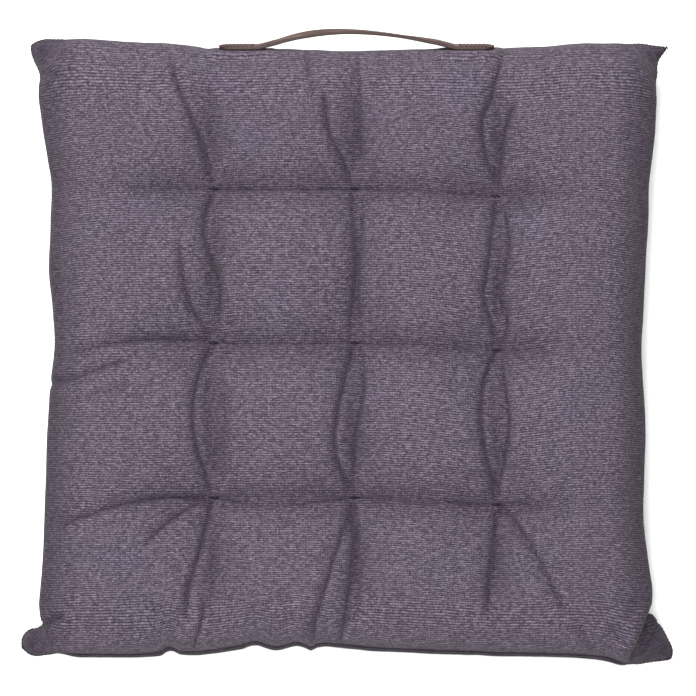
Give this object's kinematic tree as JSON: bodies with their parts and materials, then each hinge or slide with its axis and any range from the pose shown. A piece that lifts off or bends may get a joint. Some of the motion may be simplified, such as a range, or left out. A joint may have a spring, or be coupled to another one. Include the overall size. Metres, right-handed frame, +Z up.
{
  "type": "chair seat pad",
  "caption": "Square tufted seat pad with a knife-edge woven cover, drawn-in sides, pinched corners and a leather carrying strap on its back edge.",
  "frame": {"origin": "under the middle of the whole pad, on the surface that it lies on", "axes": "+Z up out of the sitting face, +Y towards the back edge with the strap, +X to the sitter's right"},
  "size_m": [0.404, 0.396, 0.0519],
  "materials": {
    "cover_cloth": "matte slubbed plain weave",
    "thread": "matte twisted thread",
    "strap_leather": "waxed, worn edges",
    "fibre": "loose white fibre",
    "foam": "open-cell foam"
  },
  "bodies": {
    "pad": {"cover_top": "cover_cloth", "cover_bottom": "cover_cloth", "edge_seam_thread": "thread", "wadding_top": "fibre", "wadding_bottom": "fibre", "foam_core": "foam", "tuft_back_left": "thread", "tuft_back_centre": "thread", "tuft_back_right": "thread", "tuft_middle_left": "thread", "tuft_middle_centre": "thread", "tuft_middle_right": "thread", "tuft_front_left": "thread", "tuft_front_centre": "thread", "tuft_front_right": "thread", "handle_end_left": "strap_leather", "handle_end_right": "strap_leather", "handle_stitching_left": "thread", "handle_stitching_right": "thread"},
    "handle": {"handle_strap": "strap_leather"}
  },
  "joints": [
    {"name": "handle_swing", "type": "hinge", "parent": "pad", "child": "handle", "pos_m": [0.006, 0.187, 0.03013], "axis": [1, 0, 0], "range_deg": [-60, 45]}
  ]
}
